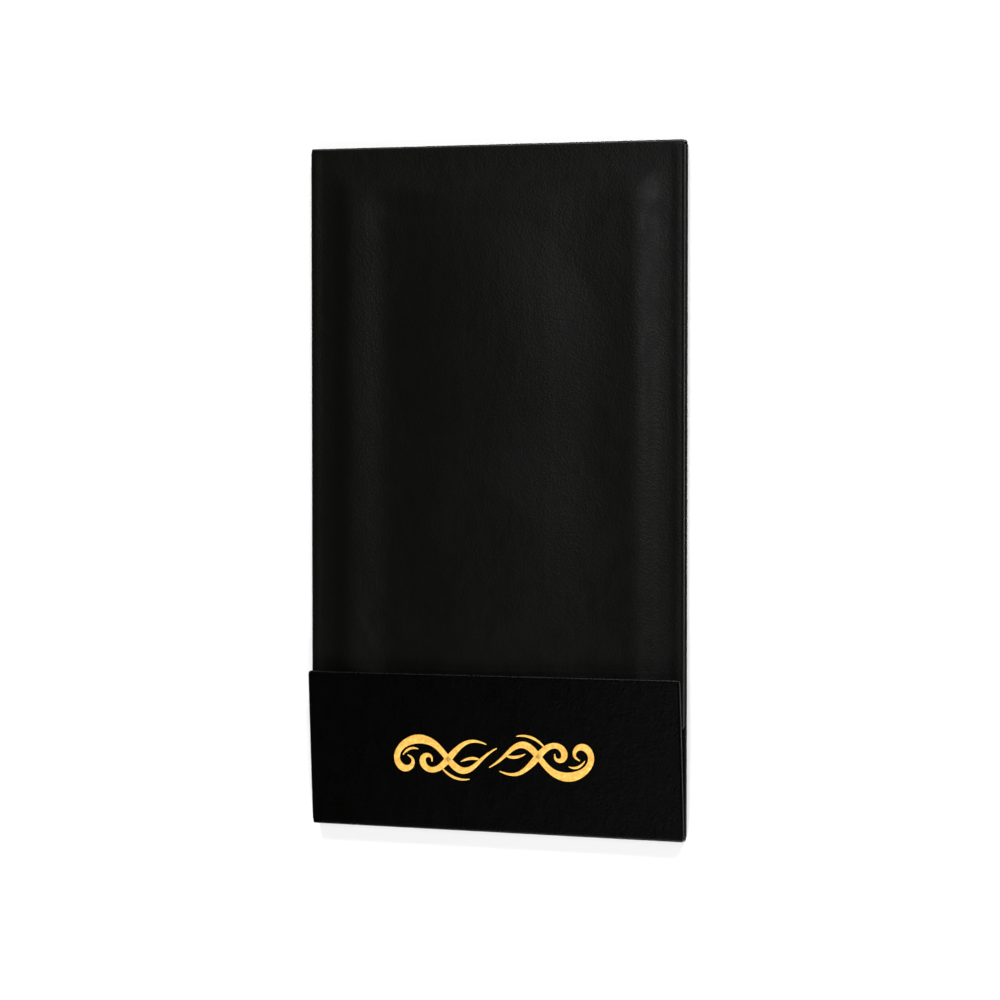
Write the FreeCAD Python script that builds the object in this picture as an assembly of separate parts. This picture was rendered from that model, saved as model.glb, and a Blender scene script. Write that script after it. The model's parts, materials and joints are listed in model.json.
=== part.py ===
"""Guest check presenter, matchbook style, lying closed on its back.

Millimetres. X runs across the width, Y towards the top fold, Z up out of the front cover.
The origin is the middle of the underside. Every panel is card wrapped in leatherette with
its edges turned in and a lining glued over them. The leatherette carries on past the card
at each fold and meets a spine strip there, which is hinged at both of its edges. The flap
leans out until it rests on the cover's padded lower end, which is tucked in behind it.
"""

import FreeCAD, Part

import math
import os

from FreeCAD import Placement, Rotation, Vector

# Overall size, closed
WIDTH = 139.7
LENGTH = 241.3

# Sheet goods
SKIN = 0.4
LINING = 0.2
BACK_CARD = 1.2
COVER_CARD = 1.2
FLAP_CARD = 1.0
POCKET_SHEET = 0.3

# How the panels lie on each other
INSIDE_GAP = 0.6
FLAP_SET_DOWN = 0.2
FOLD_CLEARANCE = 0.1
FOLD_SET_BACK = 1.5
FOLD_LINING_INSET = 0.5

# Panel edges
CORNER_RADIUS = 1.3
TURN_IN = 12.0
LINING_MARGIN = 3.0

# Flap
FLAP_HEIGHT = 55.0
FLAP_REST_GAP = 0.3
COVER_TUCK = 16.0

# Padding under the cover's leatherette
PAD_SIDE_MARGIN = 5.8
PAD_TOP_MARGIN = 7.5
PAD_END_MARGIN = 4.0
PAD_BEVEL = 10.5
PAD_END_BEVEL = 7.5
PAD_SHOULDER = 0.9
PAD_CROWN = 0.4
PAD_CROWN_INSET = 26.0

# Card pocket inside, on the back's lining
POCKET_WIDTH = 96.0
POCKET_HEIGHT = 56.0
POCKET_FROM_TOP = 24.0
POCKET_LIP_WIDTH = 22.0
POCKET_LIP_DIP = 7.0

# Levels above the table
BACK_TOP = SKIN + BACK_CARD + SKIN + LINING
COVER_UNDERSIDE = BACK_TOP + INSIDE_GAP
COVER_FACE = COVER_UNDERSIDE + LINING + SKIN + COVER_CARD + SKIN
FLAP_FACE = COVER_FACE - FLAP_SET_DOWN
FLAP_THICKNESS = LINING + SKIN + FLAP_CARD + SKIN

# Ends along the length
TOP = LENGTH / 2
BOTTOM = -LENGTH / 2
COVER_END = BOTTOM + FLAP_HEIGHT - COVER_TUCK

HALF = WIDTH / 2
FOLD_CENTRE = SKIN / 2
FOLD_REACH = SKIN + FOLD_CLEARANCE


def box(x_half, y_low, y_high, z_low, z_high):
    """A box centred across the width."""
    size = (2 * x_half, y_high - y_low, z_high - z_low)
    return Part.makeBox(*size, Vector(-x_half, y_low, z_low))


def round_ends(x_half, y_low, y_high, z_low, z_high, radius, at_low, at_high):
    """A box whose upright corners are rounded at its low end, its high end or both."""
    shape = box(x_half, y_low, y_high, z_low, z_high)
    middle = (y_low + y_high) / 2
    wanted = []
    for edge in shape.Edges:
        ends = [vertex.Point for vertex in edge.Vertexes]
        upright = ends[0].x == ends[1].x and ends[0].y == ends[1].y
        if upright and ((ends[0].y < middle and at_low) or (ends[0].y > middle and at_high)):
            wanted.append(edge)
    return shape.makeFillet(radius, wanted) if wanted else shape


class Panel:
    """One stiff panel, built flat with its leatherette face up or down.

    Its edges are wrapped at the sides and at each end that isn't a fold. Its face is the
    level of the leatherette's outer face, and inward is +1 where the card lies above that
    face and -1 where it lies below.
    """

    def __init__(self, y_low, y_high, fold_low, fold_high, face, inward, card):
        self.y_low = y_low
        self.y_high = y_high
        self.fold_low = fold_low
        self.fold_high = fold_high
        self.face = face
        self.inward = inward
        self.card = card

    def layer(self, x_half, y_low, y_high, depth_low, depth_high, radius):
        """A sheet between two depths below the face, rounded at the wrapped ends."""
        ends = (not self.fold_low, not self.fold_high)
        levels = self.levels(depth_low, depth_high)
        return round_ends(x_half, y_low, y_high, *levels, radius, *ends)

    def reach(self, inset):
        """The low and high end of a sheet that stops this far short of the panel's edges."""
        low = self.y_low + (FOLD_SET_BACK if self.fold_low else inset)
        high = self.y_high - (FOLD_SET_BACK if self.fold_high else inset)
        return low, high

    def skin(self):
        """The leatherette: its face, its wrapped edges and the margins turned in behind."""
        face = self.layer(HALF, self.tongue_low(), self.tongue_high(), 0, SKIN, CORNER_RADIUS)
        wrap = self.layer(HALF, *self.reach(0), 0, SKIN + self.card + SKIN, CORNER_RADIUS)
        hollow = self.board()
        low, high = self.window()
        window = box(HALF - TURN_IN, low, high, *self.levels(SKIN, SKIN + self.card + SKIN))
        return face.fuse(wrap).cut(hollow).cut(window).removeSplitter()

    def board(self):
        """The card that stiffens the panel."""
        low, high = self.reach(SKIN)
        inner = CORNER_RADIUS - SKIN
        return self.layer(HALF - SKIN, low, high, SKIN, SKIN + self.card, inner)

    def lining(self):
        """The lining: it lies on the turned-in margins and fills the window between them."""
        behind = SKIN + self.card + SKIN
        low, high = self.reach(LINING_MARGIN)
        sheet = box(HALF - LINING_MARGIN, low, high, *self.levels(behind, behind + LINING))
        low, high = self.window()
        fill = box(HALF - TURN_IN, low, high, *self.levels(SKIN + self.card, behind))
        return sheet.fuse(fill).removeSplitter()

    def levels(self, depth_low, depth_high):
        """Two depths below the face as levels, the lower one first."""
        return sorted((self.face + self.inward * depth_low, self.face + self.inward * depth_high))

    def window(self):
        """The ends of the opening that the turned-in margins leave."""
        return self.reach(TURN_IN)

    def tongue_low(self):
        """Where the face ends at the low end: at the fold, or at the wrapped edge."""
        return self.y_low + (FOLD_REACH if self.fold_low else 0)

    def tongue_high(self):
        """Where the face ends at the high end: at the fold, or at the wrapped edge."""
        return self.y_high - (FOLD_REACH if self.fold_high else 0)


def back_panel():
    """The back lies on the table, with a fold at each end."""
    return Panel(BOTTOM, TOP, True, True, 0, 1, BACK_CARD)


def cover_panel():
    """The cover hangs from the top fold, and its lower end is tucked behind the flap."""
    return Panel(COVER_END, TOP, False, True, COVER_FACE, -1, COVER_CARD)


def flap_panel():
    """The flap stands on the bottom fold, built flat before it leans out."""
    return Panel(BOTTOM, BOTTOM + FLAP_HEIGHT, True, False, FLAP_FACE, -1, FLAP_CARD)


def spine(y_outer, outward, far_face):
    """The spine at a fold: a strip of leatherette with a half-round edge at each hinge.

    y_outer is the presenter's end, outward is +1 at the top and -1 at the bottom, and
    far_face is the outer level of the panel that the strip carries.
    """
    y_inner = y_outer - outward * SKIN
    y_low, y_high = sorted((y_inner, y_outer))
    low = FOLD_CENTRE
    high = far_face - FOLD_CENTRE
    strip = box(HALF, y_low, y_high, low, high)
    middle = (y_low + y_high) / 2
    for level in (low, high):
        edge = Part.makeCylinder(FOLD_CENTRE, WIDTH, Vector(-HALF, middle, level), Vector(1, 0, 0))
        strip = strip.fuse(edge)
    skin = strip.removeSplitter()
    y_lining = y_inner - outward * LINING
    y_low, y_high = sorted((y_lining, y_inner))
    inset = SKIN + FOLD_LINING_INSET
    lining = box(HALF - LINING_MARGIN, y_low, y_high, inset, far_face - inset)
    return skin, lining


def pad_rings():
    """The padding's outlines from foot to crown, each as half width, low end, high end and rise."""
    end_share = PAD_END_BEVEL / PAD_BEVEL
    rings = []
    for inset, rise in (
        (0, 0),
        (PAD_BEVEL, PAD_SHOULDER),
        (PAD_BEVEL + PAD_CROWN_INSET, PAD_SHOULDER + PAD_CROWN),
    ):
        half = HALF - PAD_SIDE_MARGIN - inset
        low = COVER_END + PAD_END_MARGIN + inset * end_share
        high = TOP - PAD_TOP_MARGIN - inset * end_share
        rings.append((half, low, high, rise))
    return rings


def pad_block(base):
    """The padding's form from a base level: bevelled sides, a shoulder and a low crown."""
    outlines = []
    for half, low, high, rise in pad_rings():
        corners = [(-half, low), (half, low), (half, high), (-half, high), (-half, low)]
        outlines.append(Part.makePolygon([Vector(x, y, base + rise) for x, y in corners]))
    return Part.makeLoft(outlines, True, True)


def card_pocket():
    """A flat pocket on the back's lining, with a thumb dip in its open edge."""
    high = TOP - POCKET_FROM_TOP
    low = high - POCKET_HEIGHT
    sheet = box(POCKET_WIDTH / 2, low, high, BACK_TOP, BACK_TOP + POCKET_SHEET)
    half = POCKET_LIP_WIDTH / 2
    dip_radius = (half ** 2 + POCKET_LIP_DIP ** 2) / (2 * POCKET_LIP_DIP)
    centre = Vector(0, high - POCKET_LIP_DIP + dip_radius, BACK_TOP)
    thumb_dip = Part.makeCylinder(dip_radius, POCKET_SHEET, centre)
    return sheet.cut(thumb_dip)


def flap_lean(hinge):
    """The angle at which the flap's lining rests on the tucked end of the padded cover."""
    reach = FLAP_THICKNESS - FOLD_CENTRE + FLAP_REST_GAP
    end = hinge.y + FLAP_HEIGHT
    profile = [(COVER_END, COVER_FACE)]
    profile += [(low, COVER_FACE + rise) for _, low, _, rise in pad_rings()]
    angles = []
    for (y_low, z_low), (y_high, z_high) in zip(profile, profile[1:]):
        if y_low >= end:
            break
        covered_share = min(1, (end - y_low) / (y_high - y_low))
        for share in (0, covered_share):
            along = y_low + share * (y_high - y_low) - hinge.y
            rise = z_low + share * (z_high - z_low) - hinge.z
            angles.append(math.atan2(rise, along) + math.asin(reach / math.hypot(along, rise)))
    return math.degrees(max(angles))


def flap_hinge():
    """A point on the line that the flap turns about at its fold."""
    return Vector(0, BOTTOM + FOLD_CENTRE, FLAP_FACE - FOLD_CENTRE)


def lean(shape):
    """Tips a flap piece outward about its hinge line until it rests on the cover."""
    hinge = flap_hinge()
    tipped = shape.copy()
    turn = Rotation(Vector(1, 0, 0), flap_lean(hinge))
    tipped.Placement = Placement(Vector(0, 0, 0), turn, hinge)
    return tipped


def pieces():
    """Every piece of the presenter by name."""
    back = back_panel()
    cover = cover_panel()
    flap = flap_panel()
    top_fold_skin, top_fold_liner = spine(TOP, 1, COVER_FACE)
    bottom_fold_skin, bottom_fold_liner = spine(BOTTOM, -1, FLAP_FACE)
    foam = pad_block(COVER_FACE - SKIN)
    cover_skin = cover.skin().fuse(pad_block(COVER_FACE)).cut(foam).removeSplitter()
    return {
        "back_board": back.board(),
        "back_skin": back.skin(),
        "back_liner": back.lining(),
        "card_pocket": card_pocket(),
        "top_fold_skin": top_fold_skin,
        "top_fold_liner": top_fold_liner,
        "cover_board": cover.board(),
        "cover_foam": foam,
        "cover_skin": cover_skin,
        "cover_liner": cover.lining(),
        "bottom_fold_skin": bottom_fold_skin,
        "bottom_fold_liner": bottom_fold_liner,
        "flap_board": lean(flap.board()),
        "flap_skin": lean(flap.skin()),
        "flap_liner": lean(flap.lining()),
    }


def main():
    os.makedirs("parts", exist_ok=True)
    for name, shape in pieces().items():
        if not shape.isValid() or len(shape.Solids) != 1:
            raise ValueError(f"{name} isn't one valid solid")
        shape.Solids[0].exportStep(f"parts/{name}.step")
        size = shape.BoundBox
        print(f"{name}: {size.XLength:.1f} x {size.YLength:.1f} x {size.ZLength:.1f}")
    print(f"the flap leans out {flap_lean(flap_hinge()):.2f} degrees")


main()
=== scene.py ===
"""Guest check presenter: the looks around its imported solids.

Metres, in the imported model's frame: X runs across the width, Y towards the top fold and Z up
out of the front cover. Every size of the presenter is written in millimetres times MM, or is
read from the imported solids. The presenter is black leatherette wrapped round card: a back, a
padded cover that hangs from the top fold, and a short flap on the bottom fold.
"""

import json
import logging
import math
from collections.abc import Callable, Iterator, Sequence
from contextlib import contextmanager
from dataclasses import dataclass, field
from enum import Enum

import bmesh
import bpy
from mathutils import Matrix, Vector, noise


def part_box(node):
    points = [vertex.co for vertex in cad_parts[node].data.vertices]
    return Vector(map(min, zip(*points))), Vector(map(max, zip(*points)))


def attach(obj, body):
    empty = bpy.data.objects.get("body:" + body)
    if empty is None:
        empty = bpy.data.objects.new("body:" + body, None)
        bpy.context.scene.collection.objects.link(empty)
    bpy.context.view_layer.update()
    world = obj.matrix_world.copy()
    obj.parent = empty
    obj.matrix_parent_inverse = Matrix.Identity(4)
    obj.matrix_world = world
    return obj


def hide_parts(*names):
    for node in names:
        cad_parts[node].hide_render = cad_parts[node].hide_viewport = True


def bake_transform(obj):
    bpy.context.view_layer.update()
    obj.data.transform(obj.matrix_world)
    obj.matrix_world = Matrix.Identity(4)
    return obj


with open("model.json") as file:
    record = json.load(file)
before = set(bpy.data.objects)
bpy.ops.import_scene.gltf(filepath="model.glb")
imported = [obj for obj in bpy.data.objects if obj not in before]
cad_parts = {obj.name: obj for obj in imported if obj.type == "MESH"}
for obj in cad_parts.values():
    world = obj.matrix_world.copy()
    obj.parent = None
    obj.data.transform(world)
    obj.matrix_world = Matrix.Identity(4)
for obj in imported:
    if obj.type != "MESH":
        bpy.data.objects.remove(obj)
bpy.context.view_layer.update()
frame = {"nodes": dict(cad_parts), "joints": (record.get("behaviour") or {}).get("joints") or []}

MM = 0.001
MERGE = 0.0005 * MM

log = logging.getLogger("presenter")

Colour = tuple[float, float, float]
Stretch = tuple[float, float, float]
Band = tuple[float, float]
Piece = bpy.types.Object
Box = tuple[Vector, Vector]


class Domain(Enum):
    """What edit mode selects."""

    POINT = (True, False, False)
    EDGE = (False, True, False)
    FACE = (False, False, True)


class Body(Enum):
    """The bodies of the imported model."""

    BACK = "back"
    TOP_FOLD = "top_fold"
    COVER = "cover"
    BOTTOM_FOLD = "bottom_fold"
    FLAP = "flap"


class Slot(Enum):
    """The material slots of the record."""

    LEATHERETTE = "leatherette"
    CARD = "card"
    FOAM = "foam"
    LINING = "lining"
    GOLD_FOIL = "gold_foil"


# Editing steps


def take_none() -> None:
    """Deselects everything, so that a new primitive stands alone."""
    bpy.ops.object.select_all(action="DESELECT")


def take(piece: Piece) -> None:
    """Deselects everything, then selects one piece and makes it active.

    Args:
        piece: the object that the next operators act on.
    """
    take_none()
    piece.select_set(True)
    bpy.context.view_layer.objects.active = piece


@contextmanager
def editing(piece: Piece, domain: Domain) -> Iterator[None]:
    """Edit mode on one piece, with nothing selected at its start.

    Args:
        piece: the object to edit.
        domain: what the selection holds.

    Returns:
        Nothing while it is open; edit mode ends with the block.
    """
    take(piece)
    bpy.ops.object.mode_set(mode="EDIT")
    bpy.context.tool_settings.mesh_select_mode = domain.value
    bpy.ops.mesh.select_all(action="DESELECT")
    yield
    bpy.ops.object.mode_set(mode="OBJECT")


def pick_all() -> None:
    """Selects all of the edited mesh."""
    bpy.ops.mesh.select_all(action="SELECT")


def pick_edges(test: Callable[[Vector, Vector], bool], rim_only: bool = False) -> None:
    """Selects the edges of the edited mesh whose two ends pass a test.

    Args:
        test: says of the two ends of an edge whether it is wanted.
        rim_only: leaves out every edge that has a face on both sides.
    """
    mesh = bpy.context.edit_object.data
    shape = bmesh.from_edit_mesh(mesh)
    for edge in shape.edges:
        wanted = edge.is_boundary or not rim_only
        edge.select = wanted and test(edge.verts[0].co, edge.verts[1].co)
    shape.select_flush_mode()
    bmesh.update_edit_mesh(mesh)


def move(step: Vector) -> None:
    """Moves what is selected by one step."""
    bpy.ops.transform.translate(value=step)


def extrude_rim(step: Vector) -> None:
    """Extrudes the selected edges and moves the new ones by one step."""
    bpy.ops.mesh.extrude_edges_move(TRANSFORM_OT_translate={"value": step})


def modify(piece: Piece, kind: str, **settings: object) -> None:
    """Adds one modifier to a piece and applies it.

    Args:
        piece: the object to change.
        kind: the modifier's type.
        settings: the modifier's properties by name.
    """
    take(piece)
    modifier = piece.modifiers.new(kind, kind)
    for name, value in settings.items():
        setattr(modifier, name, value)
    bpy.ops.object.modifier_apply(modifier=modifier.name)


def thicken(piece: Piece, thickness: float) -> None:
    """Gives a sheet its thickness on the side behind its face."""
    modify(piece, "SOLIDIFY", thickness=thickness, offset=-1, use_even_offset=True)


def reshape(piece: Piece, place: Callable[[Vector], Vector]) -> None:
    """Moves each point of a piece as a rule says.

    Args:
        piece: the object whose mesh changes.
        place: gives a point's new place from its old one.
    """
    for point in piece.data.vertices:
        point.co = place(point.co)
    piece.data.update()


def settle(piece: Piece, crease: float = 40) -> None:
    """Puts a finished piece's place into its mesh and shades it.

    Args:
        piece: the object to finish.
        crease: the angle in degrees past which an edge is shaded sharp.
    """
    take(piece)
    bpy.ops.object.transform_apply(location=True, rotation=True, scale=True)
    bpy.ops.object.shade_smooth_by_angle(angle=math.radians(crease))
    piece.select_set(False)


def outward_faces(piece: Piece) -> None:
    """Merges doubled points and turns every face of a closed piece outwards.

    Args:
        piece: the piece, closed.
    """
    with editing(piece, Domain.FACE):
        pick_all()
        bpy.ops.mesh.remove_doubles(threshold=MERGE)
        bpy.ops.mesh.normals_make_consistent(inside=False)


def lattice(name: str, low: Vector, high: Vector, cell: float) -> Piece:
    """A level sheet of square cells between two corners, facing up.

    Args:
        name: the new object's name.
        low: its lowest corner, which also gives its level.
        high: its highest corner.
        cell: the size that its cells have at most.

    Returns:
        The new object, with its place in its mesh.
    """
    size = high - low
    take_none()
    bpy.ops.mesh.primitive_grid_add(
        x_subdivisions=max(1, math.ceil(size.x / cell)),
        y_subdivisions=max(1, math.ceil(size.y / cell)),
        size=1,
    )
    piece = bpy.context.object
    piece.name = name
    with editing(piece, Domain.POINT):
        pick_all()
        bpy.ops.transform.resize(value=(size.x, size.y, 1))
        move(Vector(((low.x + high.x) / 2, (low.y + high.y) / 2, low.z)))
    return piece


def smooth(share: float) -> float:
    """A share held between 0 and 1, with a soft start and end."""
    held = min(1.0, max(0.0, share))
    return held * held * (3 - 2 * held)


def bump(distance: float, width: float) -> float:
    """A rounded hill: 1 at no distance, 0 at its width and beyond."""
    return smooth(1 - abs(distance) / width)


def flowing(stations: Sequence[tuple[float, float]], at: float) -> float:
    """A value that runs through stations in one smooth line.

    Args:
        stations: places in rising order, each with its value.
        at: the place to read.

    Returns:
        The value there, held at the first and last station's beyond them.
    """
    places = [place for place, _ in stations]
    values = [value for _, value in stations]
    if at <= places[0]:
        return values[0]
    if at >= places[-1]:
        return values[-1]
    last = len(stations) - 1
    start = max(number for number in range(last) if places[number] <= at)

    def slope(number: int) -> float:
        """The line's slope at a station, level at both ends.

        Args:
            number: the station's place in the list.

        Returns:
            The rise of the value per length.
        """
        if number in (0, last):
            return 0.0
        run = places[number + 1] - places[number - 1]
        return (values[number + 1] - values[number - 1]) / run

    width = places[start + 1] - places[start]
    share = (at - places[start]) / width
    rest = 1 - share
    leaving = values[start] * rest * rest * (1 + 2 * share)
    coming = values[start + 1] * share * share * (3 - 2 * share)
    return leaving + coming + (slope(start) * rest - slope(start + 1) * share) * share * rest * width


# Finishes


class Signal:
    """A number in a material, which plus, minus and times work on from either side."""

    def __init__(self, paint: "Paint", socket: bpy.types.NodeSocket) -> None:
        """Wraps one output socket of a node of a paint."""
        self.paint = paint
        self.socket = socket

    def _join(self, operation: str, first: object, second: object) -> "Signal":
        """Adds the Math node for one operation on two numbers or signals."""
        return self.paint.node("Math", {"operation": operation}, {0: first, 1: second})

    def __add__(self, other: object) -> "Signal":
        """self + other."""
        return self._join("ADD", self, other)

    def __radd__(self, other: object) -> "Signal":
        """other + self."""
        return self._join("ADD", other, self)

    def __sub__(self, other: object) -> "Signal":
        """self - other."""
        return self._join("SUBTRACT", self, other)

    def __rsub__(self, other: object) -> "Signal":
        """other - self."""
        return self._join("SUBTRACT", other, self)

    def __mul__(self, other: object) -> "Signal":
        """self * other."""
        return self._join("MULTIPLY", self, other)

    def __rmul__(self, other: object) -> "Signal":
        """other * self."""
        return self._join("MULTIPLY", other, self)


class Paint:
    """One material and the nodes that make it."""

    def __init__(self, name: str) -> None:
        """Starts a material with a Principled shader and its coordinates.

        Args:
            name: the material's name.
        """
        self.material = bpy.data.materials.new(name)
        self.material.use_nodes = True
        self.tree = self.material.node_tree
        self.shader = self.tree.nodes["Principled BSDF"]
        place = self.tree.nodes.new("ShaderNodeTexCoord")
        self.place = Signal(self, place.outputs["Object"])

    def node(
        self, kind: str, settings: dict[str, object], inputs: dict[object, object], output: object = 0
    ) -> Signal:
        """Adds one node.

        Args:
            kind: the node's type without its ShaderNode prefix.
            settings: its properties by name, with ramp_stops for a ramp's places and greys.
            inputs: a number, colour or signal for each named socket.
            output: the socket that the result reads.

        Returns:
            The signal of that output.
        """
        made = self.tree.nodes.new("ShaderNode" + kind)
        for name, value in settings.items():
            if name == "ramp_stops":
                self._set_stops(made.color_ramp, value)
            else:
                setattr(made, name, value)
        for name, value in inputs.items():
            self.feed(made.inputs[name], value)
        return Signal(self, made.outputs[output])

    def feed(self, socket: bpy.types.NodeSocket, value: object) -> None:
        """Links a signal to a socket, or sets the socket to a constant.

        Args:
            socket: the input socket.
            value: a signal, a number or a colour.
        """
        if isinstance(value, Signal):
            self.tree.links.new(value.socket, socket)
        else:
            socket.default_value = value

    def _set_stops(self, ramp: bpy.types.ColorRamp, stops: Sequence[tuple[float, float]]) -> None:
        """Gives a ramp its stops.

        Args:
            ramp: the ramp, with at most as many stops as it gets.
            stops: a place and a grey for each stop, in rising order.
        """
        while len(ramp.elements) < len(stops):
            ramp.elements.new(1.0)
        for element, (place, grey) in zip(ramp.elements, stops):
            element.position = place
            element.color = (grey, grey, grey, 1.0)

    def blotches(self, scale: float, detail: float, stretch: Stretch = (1.0, 1.0, 1.0)) -> Signal:
        """Soft noise over the surface.

        Args:
            scale: how many blotches there are to a metre.
            detail: how many finer octaves the noise has.
            stretch: below 1 for an axis that the blotches are longer along.

        Returns:
            The noise, from 0 to 1.
        """
        turned = self.node("Mapping", {}, {"Vector": self.place, "Scale": stretch})
        sockets = {"Vector": turned, "Scale": scale, "Detail": detail, "Roughness": 0.55}
        return self.node("TexNoise", {}, sockets)

    def levels(self, signal: Signal, low: float, high: float) -> Signal:
        """Maps what lies between two levels to 0 to 1."""
        return self.node("ValToRGB", {"ramp_stops": ((low, 0.0), (high, 1.0))}, {0: signal})

    def mix(self, share: Signal, first: Colour, second: Colour) -> Signal:
        """A colour between two colours."""
        sockets = {0: share, 6: (*first, 1.0), 7: (*second, 1.0)}
        return self.node("Mix", {"data_type": "RGBA"}, sockets, 2)

    def relief(self, height: Signal, depth: float) -> Signal:
        """A normal from a height signal that spans a real depth."""
        return self.node("Bump", {}, {"Strength": 1.0, "Distance": depth, "Height": height})

    def dress(self, sockets: dict[str, object]) -> bpy.types.Material:
        """Feeds the shader's sockets.

        Args:
            sockets: a number, colour or signal for each named socket.

        Returns:
            The finished material.
        """
        for name, value in sockets.items():
            self.feed(self.shader.inputs[name], value)
        return self.material


@dataclass(frozen=True)
class Leatherette:
    """Embossed black leatherette: pebbled grain, softly mottled gloss."""

    name: str
    dark: Colour = (0.0007, 0.0007, 0.0006)
    light: Colour = (0.0020, 0.0020, 0.0016)
    roughness_low: float = 0.29
    roughness_high: float = 0.41
    shine: float = 0.152
    grain_per_metre: float = 1300.0
    grain_depth: float = 0.050 * MM
    pebble_smoothness: float = 0.6
    pebble_height: float = 0.75
    pore_rate: float = 2.2
    pore_height: float = 0.25
    mottle_height: float = 0.5
    mottle_per_metre: float = 240.0
    mottle_band: Band = (0.36, 0.66)
    mottle_stretch: Stretch = (1.0, 0.55, 1.0)
    mottle_share: float = 0.6
    sheen_per_metre: float = 45.0
    sheen_band: Band = (0.34, 0.68)
    sheen_stretch: Stretch = (1.0, 0.5, 1.0)
    sheen_share: float = 0.4
    wander_reach: float = 0.35
    wander_rate: float = 0.4

    def material(self) -> bpy.types.Material:
        """Builds the material.

        Returns:
            The leatherette.
        """
        paint = Paint(self.name)
        pores = paint.node(
            "TexVoronoi",
            {"feature": "SMOOTH_F1"},
            {
                "Vector": self._wander(paint),
                "Scale": self.grain_per_metre,
                "Smoothness": self.pebble_smoothness,
            },
        )
        fine = paint.blotches(self.grain_per_metre * self.pore_rate, detail=3.0)
        clouds = paint.blotches(self.mottle_per_metre, detail=4.0, stretch=self.mottle_stretch)
        mottle = paint.levels(clouds, *self.mottle_band)
        bands = paint.blotches(self.sheen_per_metre, detail=2.0, stretch=self.sheen_stretch)
        sheen = paint.levels(bands, *self.sheen_band)
        tone = mottle * self.mottle_share + sheen * self.sheen_share
        spread = self.roughness_high - self.roughness_low
        roughness = (1 - tone) * spread + self.roughness_low
        pebbles = (1 - pores) * self.pebble_height + fine * self.pore_height
        height = pebbles + mottle * self.mottle_height
        return paint.dress(
            {
                "Base Color": paint.mix(tone, self.dark, self.light),
                "Roughness": roughness,
                "Normal": paint.relief(height, self.grain_depth),
                "Specular IOR Level": self.shine,
            }
        )

    def _wander(self, paint: Paint) -> Signal:
        """Coordinates that wander a little, so that no two pebbles are alike.

        Args:
            paint: the paint that gets the nodes.

        Returns:
            The coordinates.
        """
        rate = self.grain_per_metre * self.wander_rate
        drift = paint.node("TexNoise", {}, {"Vector": paint.place, "Scale": rate}, "Color")
        step = {0: drift, "Scale": self.wander_reach / self.grain_per_metre}
        pushed = paint.node("VectorMath", {"operation": "SCALE"}, step)
        return paint.node("VectorMath", {"operation": "ADD"}, {0: paint.place, 1: pushed})


@dataclass(frozen=True)
class WovenLining:
    """Black bookcloth: a fine plain weave with a dull face."""

    name: str
    dark: Colour = (0.006, 0.006, 0.006)
    light: Colour = (0.022, 0.022, 0.021)
    threads_per_metre: float = 1900.0
    thread_depth: float = 0.05 * MM
    weave_share: float = 0.6
    slubs_per_metre: float = 500.0
    slub_stretch: Stretch = (1.0, 0.25, 1.0)
    slub_band: Band = (0.35, 0.7)
    slub_share: float = 0.4
    roughness: float = 0.72
    roughness_gain: float = 0.15
    shine: float = 0.3

    def material(self) -> bpy.types.Material:
        """Builds the material.

        Returns:
            The lining cloth.
        """
        paint = Paint(self.name)
        warp = self._threads(paint, "X")
        weft = self._threads(paint, "Y")
        weave = warp * 0.5 + weft * 0.5
        thick = paint.blotches(self.slubs_per_metre, detail=3.0, stretch=self.slub_stretch)
        slubs = paint.levels(thick, *self.slub_band)
        tone = weave * self.weave_share + slubs * self.slub_share
        return paint.dress(
            {
                "Base Color": paint.mix(tone, self.dark, self.light),
                "Roughness": (1 - slubs) * self.roughness_gain + self.roughness,
                "Normal": paint.relief(weave + slubs * self.slub_share, self.thread_depth),
                "Specular IOR Level": self.shine,
            }
        )

    def _threads(self, paint: Paint, direction: str) -> Signal:
        """The rounded backs of the threads that run across one axis.

        Args:
            paint: the paint that gets the nodes.
            direction: the axis, X or Y.

        Returns:
            The height of the threads, from 0 to 1.
        """
        settings = {"wave_type": "BANDS", "bands_direction": direction, "wave_profile": "SIN"}
        sockets = {
            "Vector": paint.place,
            "Scale": self.threads_per_metre / math.tau,
            "Distortion": 0.6,
            "Detail": 1.0,
            "Detail Scale": 2.0,
        }
        return paint.node("TexWave", settings, sockets, "Fac")


@dataclass(frozen=True)
class GreyCard:
    """Grey bookbinder's card: pressed fibres with darker flecks."""

    name: str
    dark: Colour = (0.24, 0.22, 0.19)
    light: Colour = (0.42, 0.39, 0.34)
    fibres_per_metre: float = 900.0
    fibre_stretch: Stretch = (1.0, 0.3, 1.0)
    fibre_depth: float = 0.04 * MM
    fleck_rate: float = 0.3
    fleck_band: Band = (0.62, 0.72)
    roughness: float = 0.8
    roughness_gain: float = 0.1

    def material(self) -> bpy.types.Material:
        """Builds the material.

        Returns:
            The card.
        """
        paint = Paint(self.name)
        fibres = paint.blotches(self.fibres_per_metre, detail=6.0, stretch=self.fibre_stretch)
        spots = paint.blotches(self.fibres_per_metre * self.fleck_rate, detail=2.0)
        flecks = paint.levels(spots, *self.fleck_band)
        tone = fibres * (1 - flecks)
        return paint.dress(
            {
                "Base Color": paint.mix(tone, self.dark, self.light),
                "Roughness": fibres * self.roughness_gain + self.roughness,
                "Normal": paint.relief(fibres, self.fibre_depth),
            }
        )


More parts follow.
